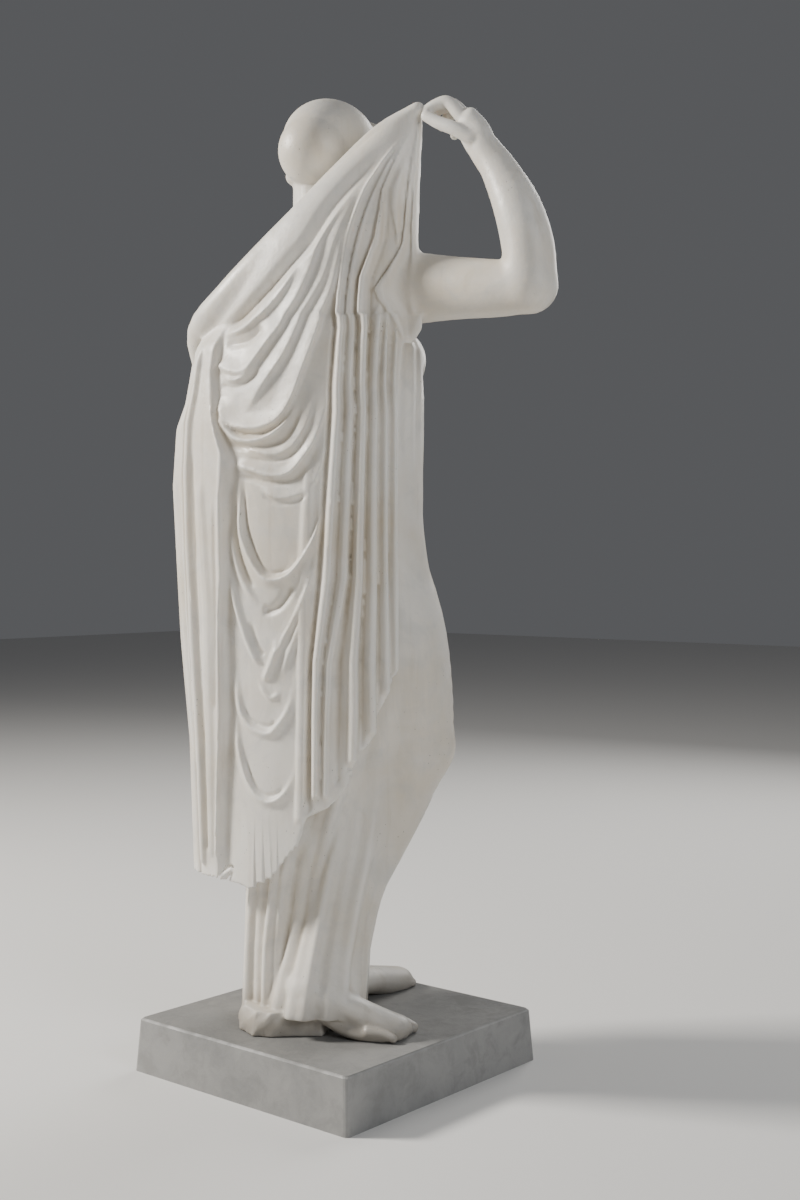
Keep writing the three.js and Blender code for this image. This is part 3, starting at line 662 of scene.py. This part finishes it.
frontFall = {
    "stations": [
        (452, 196, -48, 50, 60, 58), (800, 200, -58, 56, 60, 62), (1100, 205, -62, 60, 60, 66),
        (1215, 208, -64, 50, 60, 58), (1240, 210, -64, 34, 50, 40),
    ],
}


def frontRipple(turn, z):
    return 6 * np.sin(5 * turn + z / 300) + 4 * np.sin(12 * turn + z / 220)


flare = {
    "stations": [
        (138, -32, 95, 92, 88, 84), (165, -34, 92, 88, 84, 80), (240, -42, 80, 78, 74, 74),
        (340, -52, 55, 74, 72, 74), (460, -62, 20, 76, 76, 84), (600, -66, -20, 78, 80, 84),
        (700, -66, -30, 66, 70, 74),
    ],
}


def flareRipple(turn, z):
    return (6 * np.sin(7 * turn + 1) + 3 * np.sin(15 * turn + z / 90)) * smoothStep((620 - z) / 250)


def addCloth():
    marble.mesh(*columnMesh(dress["stations"], 220, 6, dressRipple), blend=0)
    marble.mesh(*columnMesh(flare["stations"], 140, 5, flareRipple), blend=8)
    marble.mesh(*columnMesh(leftFall["stations"], 150, 6, leftRipple), blend=10)
    marble.mesh(*columnMesh(frontFall["stations"], 120, 6, frontRipple), blend=10)


def addLegs():
    marble.tube([(-86, 0, 1030), (-104, -40, 860), (-118, -62, 740),
                 (-130, -84, 632)], [84, 98, 90, 70], 30)
    marble.tube([(-130, -84, 625), (-112, -50, 520), (-76, 16, 380), (-50, 85, 250), (-45, 118, 190)],
                [68, 56, 50, 40, 36], 20)


def addShoulders():
    marble.tube([(-150, 14, 1478), (-80, 20, 1496), (0, 26, 1506), (80, 30, 1496), (150, 36, 1468)],
                [62, 60, 58, 60, 62], 20)
    for side in (-1, 1):
        marble.ball((78 * side, -84, 1368), (58, 56, 60), 26)


def addMantle():
    marble.mesh(*mantleCloth(), blend=7)
    marble.tube([(232, 110, 1352), (190, 165, 1420), (105, 178, 1478), (25, 163, 1545), (-38, 135, 1612),
                 (-112, 100, 1692), (-178, 72, 1756), (-240, 47, 1794)], [30, 34, 32, 30, 26, 22, 18, 12], 10)
    marble.mesh(*borderCloth(), blend=4)


def addRightArm():
    marble.tube([(-110, 14, 1480), (-175, 12, 1484), (-290, 4, 1474), (-385, -3, 1464), (-448, -10, 1462)],
                [58, 66, 56, 50, 46], 14)
    marble.tube([(-450, -10, 1464), (-445, -10, 1530), (-424, -8, 1600), (-388, -6, 1668),
                 (-364, -2, 1704)],
                [46, 46, 42, 33, 28], 12)


def finger(points, radius, blend=3.0):
    marble.tube(points, [radius * (1 - 0.08 * k) for k in range(len(points))], blend)


def addRightHand():
    marble.tube([(-362, -2, 1702), (-346, 4, 1732), (-326, 10, 1762)], [27, 32, 28], 8,
                flat=((0.5, 0.8, 0.3), 0.62))
    finger([(-322, 16, 1768), (-296, 24, 1800), (-276, 32, 1800), (-256, 40, 1790)], 12.5)
    finger([(-320, 2, 1772), (-290, 6, 1802), (-268, 14, 1798), (-256, 22, 1782)], 12.5)
    finger([(-322, -12, 1768), (-294, -12, 1794), (-272, -4, 1786), (-264, 4, 1768)], 11.5)
    finger([(-326, -24, 1758), (-302, -28, 1778), (-284, -22, 1768), (-280, -12, 1752)], 10)
    finger([(-346, 22, 1730), (-318, 36, 1748), (-288, 42, 1762), (-262, 46, 1778)], 13.5)


def addLeftArm():
    marble.tube([(232, 60, 1205), (212, -60, 1196), (188, -160, 1198),
                 (178, -190, 1202)], [50, 44, 32, 27], 14)
    marble.tube([(178, -190, 1202), (172, -220, 1208), (166, -240, 1206)], [27, 32, 26], 8,
                flat=((0, 0, 1), 0.6))
    finger([(150, -205, 1214), (136, -232, 1212), (132, -252, 1204)], 12)
    for k in range(4):
        x, z = 196 - 15 * k, 1206 + 5 * k
        finger([(x, -222, z + 8), (x - 8, -258, z + 4), (x - 22, -272, z - 14),
                (x - 26, -256, z - 30)], 10.5)


ground = 102.3


def addFeet():
    marble.tube([(34, -10, 142), (34, -70, 140), (34, -130, 134), (34, -180, 122), (34, -214, 116)],
                [38, 40, 38, 40, 38], 8, flat=((0, 0, 1), 0.72))
    for k, radius in enumerate((12, 11, 10, 9.5, 9)):
        x, tip = 10 + 17 * k, -243 + 5 * k + 1.6 * k * k
        marble.tube([(x, tip + 40, ground + 11), (x, tip + 18, ground + 12), (x, tip + 4, ground + 7)],
                    [radius, radius, 0.85 * radius], 3)
    marble.tube([(-48, 138, 190), (-80, 116, 174), (-124, 88, 150), (-162, 62, 128), (-184, 46, 120)],
                [34, 33, 33, 36, 34], 8, flat=((0, 0, 1), 0.72))
    marble.tube([(-40, 134, 170), (-80, 114, 138), (-130, 92, 116), (-176, 66, 110)], [24, 24, 30, 32], 8,
                flat=((0, 0, 1), 0.5))
    for k, radius in enumerate((13, 11, 10.5, 10, 9)):
        x, y = -193 - 4.5 * k, 2 + 19 * k
        marble.tube([(x + 42, y + 22, ground + 19), (x + 18, y + 9, ground + 16), (x, y, ground + 9)],
                    [radius + 2, radius, 0.85 * radius], 3)


def addSupport():
    outline = np.array([(110, 60), (118, 150), (70, 196), (18, 214), (-12, 200), (-50, 160), (-84, 134),
                        (-60, 60), (20, 20)], float)
    outline = np.vstack([lerp(outline, np.roll(outline, -1, 0), t) for t in (0, 0.34, 0.67)])
    order = np.argsort(np.tile(np.arange(9), 3) + np.repeat([0, 0.34, 0.67], 9))
    outline = outline[order]
    layers = []
    for z, grow in ((ground - 6, 1.0), (118, 0.995), (130, 0.97), (146, 0.9)):
        wave = 1 + 0.02 * np.sin(np.arange(27) * 2.1 + z)
        layers.append(np.column_stack([outline[:, 0] * grow * wave, 90 + (outline[:, 1] - 90) * grow * wave,
                                       np.full(27, z)]))
    marble.mesh(*closedLoft(layers), blend=6)


head = {"centre": (0.0, 16.0, 1760.0)}


def addHead():
    x, y, z = head["centre"]
    marble.tube([(4, 34, 1520), (5, 32, 1600), (4, 30, 1700)], [64, 57, 58], 16)
    marble.ball((x, y, z + 16), (81, 101, 85), 10)
    marble.ball((x, y - 22, z - 42), (62, 76, 82), 16)
    marble.ball((x, y - 66, z - 100), (26, 24, 20), 14)
    marble.tube([(x, y - 98, z + 8), (x, y - 112, z - 20), (x, y - 122, z - 40)], [9, 10, 12], 8)
    marble.tube([(x - 20, y - 90, z - 66), (x, y - 102, z - 63), (x + 20, y - 90, z - 66)], [4, 7, 4], 3)
    marble.tube([(x - 17, y - 89, z - 74), (x, y - 99, z - 77), (x + 17, y - 89, z - 74)], [4, 7, 4], 3)
    for side in (-1, 1):
        marble.ball((x + 30 * side, y - 78, z - 8), (15, 15, 11), 3)
        marble.tube([(x + 8 * side, y - 100, z + 12), (x + 32 * side, y - 92, z + 18),
                     (x + 54 * side, y - 70, z + 8)], [6, 7, 5], 8)
        marble.tube([(x + 8 * side, y - 88, z + 66), (x + 48 * side, y - 76, z + 42),
                     (x + 72 * side, y - 40, z - 2), (x + 66 * side, y + 14, z - 34),
                     (x + 40 * side, y + 58, z - 48)], [14, 18, 20, 20, 16], 6)
    marble.ball((x - 6, y + 48, z - 6), (69, 71, 69), 2)


addCloth()
print("stage: cloth")
addLegs()
addShoulders()
addFeet()
addSupport()
addMantle()
print("stage: mantle")
addRightArm()
addRightHand()
addLeftArm()
addHead()
print("stage: limbs and head")


def cutBelow():
    z = marble.low[2] + marble.cell * np.arange(marble.shape[2])
    marble.grid[:] = np.maximum(marble.grid, (ground - z).astype(np.float32)[None, None, :])
    for face in (0, -1):
        marble.grid[face], marble.grid[:, face], marble.grid[:, :, face] = (marble.band,) * 3


def marbleMesh(name, mostTriangles):
    volume = openvdb.FloatGrid(marble.band)
    volume.copyFromArray(marble.grid)
    points, _, quads = volume.convertToPolygons(0.0, 0.0)
    points = points * marble.cell + marble.low
    mesh = bpy.data.meshes.new(name)
    mesh.from_pydata((points * mm).tolist(), [], quads[:, ::-1].tolist())
    mesh.update()
    made = bpy.data.objects.new(name, mesh)
    bpy.context.scene.collection.objects.link(made)
    triangles = 2 * len(quads)
    print("stage: skin of", triangles, "triangles")
    if triangles > mostTriangles:
        thin = made.modifiers.new("thin", "DECIMATE")
        thin.ratio = mostTriangles / triangles
        graph = bpy.context.evaluated_depsgraph_get()
        lighter = bpy.data.meshes.new_from_object(made.evaluated_get(graph))
        made.modifiers.remove(thin)
        made.data = lighter
        lighter.name = name
        bpy.data.meshes.remove(mesh)
    return made


def keepLargest(made):
    # drop loose crumbs, so that the figure is one body
    mesh = made.data
    count = len(mesh.vertices)
    edges = np.zeros(len(mesh.edges) * 2, int)
    mesh.edges.foreach_get("vertices", edges)
    edges = edges.reshape(-1, 2)
    label = np.arange(count)
    while True:
        low = np.minimum(label[edges[:, 0]], label[edges[:, 1]])
        before = label.copy()
        np.minimum.at(label, edges[:, 0], low)
        np.minimum.at(label, edges[:, 1], low)
        label = label[label]
        if (label == before).all():
            break
    names, sizes = np.unique(label, return_counts=True)
    if len(names) > 1:
        import bmesh
        keep = names[np.argmax(sizes)]
        work = bmesh.new()
        work.from_mesh(mesh)
        work.verts.ensure_lookup_table()
        loose = [work.verts[i] for i in np.nonzero(label != keep)[0]]
        bmesh.ops.delete(work, geom=loose, context="VERTS")
        work.to_mesh(mesh)
        work.free()
    print("stage: bodies", len(names))


cutBelow()
figure = marbleMesh("figureMarble", 190000)
keepLargest(figure)
figure.data.shade_smooth()


def vertexPlaces(mesh):
    co = np.zeros(len(mesh.vertices) * 3)
    mesh.vertices.foreach_get("co", co)
    return co.reshape(-1, 3)


def boxBlur(field, radius):
    for axis in range(3):
        total = np.cumsum(field, axis=axis, dtype=np.float64)
        size = field.shape[axis]
        high = np.minimum(np.arange(size) + radius, size - 1)
        low = np.arange(size) - radius - 1
        upper = np.take(total, high, axis=axis)
        lower = np.take(total, np.maximum(low, 0), axis=axis)
        shape = [1, 1, 1]
        shape[axis] = size
        lower = lower * (low >= 0).reshape(shape)
        field = ((upper - lower) / (2 * radius + 1)).astype(np.float32)
    return field


def sample(field, cell, places):
    at = np.clip((places / mm - marble.low) / cell, 0, np.array(field.shape) - 1.001)
    i = at.astype(int)
    f = at - i
    total = 0
    for dx in (0, 1):
        for dy in (0, 1):
            for dz in (0, 1):
                weight = np.where(dx, f[:, 0], 1 - f[:, 0]) * np.where(dy, f[:, 1], 1 - f[:, 1]) \
                    * np.where(dz, f[:, 2], 1 - f[:, 2])
                total = total + weight * field[i[:, 0] + dx, i[:, 1] + dy, i[:, 2] + dz]
    return total


def markHollows(made):
    # how far each place lies in a hollow: small ones between folds, and broad sheltered ones
    skip = 2
    solid = (marble.grid[::skip, ::skip, ::skip] < 0).astype(np.float32)
    cell = marble.cell * skip
    places = vertexPlaces(made.data)
    for name, reach in (("crevice", 9.0), ("shelter", 34.0)):
        radius = max(1, int(round(reach / cell)))
        blurred = boxBlur(boxBlur(solid, radius), radius)
        value = (sample(blurred, cell, places) - 0.5) * 2
        layer = made.data.attributes.new(name, "FLOAT", "POINT")
        layer.data.foreach_set("value", value.astype(np.float32))


markHollows(figure)
print("stage: figure mesh", len(figure.data.polygons))


class Stone:
    # a material built step by step; every value is a socket of the node that made it
    def __init__(self, name):
        self.material = bpy.data.materials.new(name)
        self.material.use_nodes = True
        self.tree = self.material.node_tree
        self.tree.nodes.clear()
        output = self.add("ShaderNodeOutputMaterial")
        self.shader = self.add("ShaderNodeBsdfPrincipled")
        self.link(self.shader.outputs["BSDF"], output.inputs["Surface"])
        self.coords = self.add("ShaderNodeTexCoord").outputs["Object"]

    def add(self, kind, **settings):
        node = self.tree.nodes.new(kind)
        for key, value in settings.items():
            setattr(node, key, value)
        return node

    def link(self, source, target):
        if isinstance(source, (int, float)):
            target.default_value = source
        elif isinstance(source, tuple):
            target.default_value = (*source, 1.0)
        else:
            self.tree.links.new(source, target)

    def attribute(self, name):
        return self.add("ShaderNodeAttribute", attribute_name=name).outputs["Fac"]

    def stretched(self, scale, turn=(0, 0, 0)):
        node = self.add("ShaderNodeMapping")
        node.inputs["Scale"].default_value = scale
        node.inputs["Rotation"].default_value = turn
        self.link(self.coords, node.inputs["Vector"])
        return node.outputs["Vector"]

    def noise(self, scale, detail=4.0, rough=0.55, warp=0.0, where=None):
        node = self.add("ShaderNodeTexNoise")
        node.inputs["Scale"].default_value = scale
        node.inputs["Detail"].default_value = detail
        node.inputs["Roughness"].default_value = rough
        node.inputs["Distortion"].default_value = warp
        self.link(where or self.coords, node.inputs["Vector"])
        return node.outputs["Fac"]

    def spots(self, scale, where=None):
        node = self.add("ShaderNodeTexVoronoi", feature="F1")
        node.inputs["Scale"].default_value = scale
        self.link(where or self.coords, node.inputs["Vector"])
        return node.outputs["Distance"]

    def height(self):
        node = self.add("ShaderNodeSeparateXYZ")
        self.link(self.coords, node.inputs["Vector"])
        return node.outputs["Z"]

    def sums(self, how, a, b=0.0):
        node = self.add("ShaderNodeMath", operation=how)
        self.link(a, node.inputs[0])
        self.link(b, node.inputs[1])
        return node.outputs[0]

    def between(self, value, low, high, out=(0.0, 1.0)):
        node = self.add("ShaderNodeMapRange", interpolation_type="SMOOTHSTEP")
        for key, number in (("From Min", low), ("From Max", high), ("To Min", out[0]), ("To Max", out[1])):
            node.inputs[key].default_value = number
        self.link(value, node.inputs["Value"])
        return node.outputs["Result"]

    def mix(self, share, a, b, how="MIX"):
        node = self.add("ShaderNodeMix", data_type="RGBA", blend_type=how)
        self.link(share, node.inputs["Factor"])
        self.link(a, node.inputs[6])
        self.link(b, node.inputs[7])
        return node.outputs[2]

    def bump(self, height, strength, depth):
        node = self.add("ShaderNodeBump")
        node.inputs["Strength"].default_value = strength
        node.inputs["Distance"].default_value = depth
        self.link(height, node.inputs["Height"])
        self.link(node.outputs["Normal"], self.shader.inputs["Normal"])


marbleLook = {
    "clean": (0.80, 0.765, 0.70),
    "warm": (0.70, 0.63, 0.52),
    "grey": (0.56, 0.55, 0.52),
    "ochre": (0.40, 0.31, 0.19),
    # near black, used for the small pits and the darker foot, and as painted shade in the deepest crevices
    "grimeAndShade": (0.13, 0.105, 0.075),
    "rough": 0.42,
}


def figureStone():
    look = marbleLook
    s = Stone("figureStone")
    crevice, shelter = s.attribute("crevice"), s.attribute("shelter")
    broad = s.noise(3.2, 5, 0.6, 0.4)
    patches = s.noise(11.0, 6, 0.62, 0.6)
    fine = s.noise(70.0, 6, 0.65)
    streaks = s.noise(1.0, 5, 0.6, 0.3, s.stretched((26.0, 26.0, 2.2)))
    veins = s.noise(2.1, 7, 0.7, 1.6, s.stretched((1.0, 1.0, 0.6), (0.5, 0.3, 0.2)))

    colour = s.mix(s.between(broad, 0.35, 0.72), look["clean"], look["warm"])
    colour = s.mix(s.sums("MULTIPLY", s.between(patches, 0.48, 0.7), 0.45), colour, look["grey"])
    vein = s.sums("SUBTRACT", 1.0, s.between(s.sums("ABSOLUTE", s.sums("SUBTRACT", veins, 0.5)), 0.0, 0.035))
    colour = s.mix(s.sums("MULTIPLY", vein, 0.16), colour, look["grey"])
    # brown settles in the hollows, less on what stands proud
    uneven = s.sums("MULTIPLY", s.sums("SUBTRACT", patches, 0.5), 0.35)
    settled = s.between(s.sums("ADD", crevice, uneven), 0.1, 0.6)
    colour = s.mix(s.sums("MULTIPLY", settled, 0.5), colour, look["ochre"])
    # painted shade: the deepest crevices are darkened to near black, flecked by the fine noise
    speckle = s.sums("MULTIPLY", s.sums("SUBTRACT", fine, 0.5), 0.3)
    deep = s.between(s.sums("ADD", crevice, speckle), 0.45, 0.8)
    colour = s.mix(s.sums("MULTIPLY", deep, 0.7), colour, look["grimeAndShade"])
    # broad sheltered hollows are tinted ochre, partly patina and partly painted shade
    sheltered = s.between(shelter, 0.05, 0.55)
    colour = s.mix(s.sums("MULTIPLY", sheltered, 0.42), colour, look["ochre"])
    # ridges are lightened past the clean marble, partly cleaner stone and partly painted highlight
    proud = s.between(crevice, -0.42, -0.08, (0.5, 0.0))
    colour = s.mix(proud, colour, (0.9, 0.87, 0.81))
    runs = s.sums("MULTIPLY", s.between(streaks, 0.56, 0.78), 0.3)
    colour = s.mix(runs, colour, look["ochre"])
    # the figure is darker towards its bottom
    foot = s.between(s.sums("ADD", s.height(), s.sums("MULTIPLY", patches, 0.05)), 0.135, 0.21, (0.62, 0.0))
    colour = s.mix(foot, colour, look["grimeAndShade"])
    # small dark pits
    pits = s.between(s.spots(95.0), 0.06, 0.13, (1.0, 0.0))
    some = s.between(s.noise(9.0, 3), 0.52, 0.66)
    pits = s.sums("MULTIPLY", pits, some)
    colour = s.mix(s.sums("MULTIPLY", pits, 0.7), colour, look["grimeAndShade"])
    s.link(colour, s.shader.inputs["Base Color"])

    roughness = s.between(patches, 0.3, 0.75, (look["rough"] - 0.06, look["rough"] + 0.16))
    s.link(roughness, s.shader.inputs["Roughness"])
    s.shader.inputs["Subsurface Weight"].default_value = 0.12
    s.shader.inputs["Subsurface Scale"].default_value = 0.012
    s.shader.inputs["Subsurface Radius"].default_value = (1.0, 0.8, 0.55)
    worn = s.sums("ADD", s.sums("MULTIPLY", fine, 0.5), s.sums("MULTIPLY", patches, 1.2))
    worn = s.sums("SUBTRACT", worn, s.sums("MULTIPLY", pits, 0.6))
    s.bump(worn, 0.55, 0.0022)
    return s.material


def plinthStone():
    s = Stone("plinthStone")
    broad = s.noise(4.5, 5, 0.6, 0.5)
    mottle = s.noise(24.0, 6, 0.65, 0.4)
    fine = s.noise(160.0, 5, 0.7)
    colour = s.mix(s.between(broad, 0.35, 0.7), (0.33, 0.325, 0.315), (0.25, 0.25, 0.245))
    colour = s.mix(s.between(mottle, 0.42, 0.68, (0.0, 0.4)), colour, (0.19, 0.19, 0.18))
    colour = s.mix(s.between(s.noise(7.0, 4, 0.6, 0.8), 0.6, 0.75, (0.0, 0.35)), colour, (0.45, 0.44, 0.42))
    colour = s.mix(s.between(fine, 0.62, 0.75, (0.0, 0.35)), colour, (0.12, 0.12, 0.115))
    top = s.between(s.height(), 0.0995, 0.1015)
    colour = s.mix(s.sums("MULTIPLY", top, 0.38), colour, (0.12, 0.115, 0.105))
    s.link(colour, s.shader.inputs["Base Color"])
    s.link(s.between(mottle, 0.3, 0.7, (0.45, 0.7)), s.shader.inputs["Roughness"])
    s.bump(s.sums("ADD", fine, s.sums("MULTIPLY", mottle, 1.5)), 0.4, 0.0012)
    return s.material


def floorStone():
    s = Stone("floorPale")
    s.shader.inputs["Base Color"].default_value = (0.72, 0.71, 0.69, 1)
    s.shader.inputs["Roughness"].default_value = 0.85
    return s.material


figure.data.materials.clear()
figure.data.materials.append(figureStone())
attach(figure, root)
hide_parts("figure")
plinth = frame["nodes"]["plinth"]
plinth.data.materials.clear()
plinth.data.materials.append(plinthStone())
print("stage: stone")


def makeFloor():
    size = 14.0
    mesh = bpy.data.meshes.new("floor")
    mesh.from_pydata([(-size, -size, 0), (size, -size, 0), (size, size, 0),
    (-size, size, 0)], [], [(0, 1, 2, 3)])
    floor = bpy.data.objects.new("floor", mesh)
    bpy.context.scene.collection.objects.link(floor)
    mesh.materials.append(floorStone())


def areaLight(name, place, aim, size, power, colour):
    data = bpy.data.lights.new(name, "AREA")
    data.size = size
    data.energy = power
    data.color = colour
    light = bpy.data.objects.new(name, data)
    light.location = place
    light.rotation_euler = (Vector(aim) - Vector(place)).to_track_quat("-Z", "Y").to_euler()
    bpy.context.scene.collection.objects.link(light)


def makeLight():
    world = bpy.data.worlds.new("softSky")
    bpy.context.scene.world = world
    world.use_nodes = True
    sky = world.node_tree.nodes["Background"]
    sky.inputs["Color"].default_value = (0.93, 0.95, 1.0, 1)
    sky.inputs["Strength"].default_value = 0.11
    areaLight("keyLight", (3.4, 2.6, 3.4), (0, 0, 1.0), 0.9, 430, (1.0, 0.965, 0.91))
    areaLight("fillLight", (-4.2, 0.9, 2.6), (0, 0, 1.0), 1.6, 70, (0.93, 0.96, 1.0))
    areaLight("backLight", (0.5, -4.0, 3.0), (0, 0, 1.2), 2.5, 110, (1, 0.99, 0.97))


makeFloor()
makeLight()

print("stage: done")
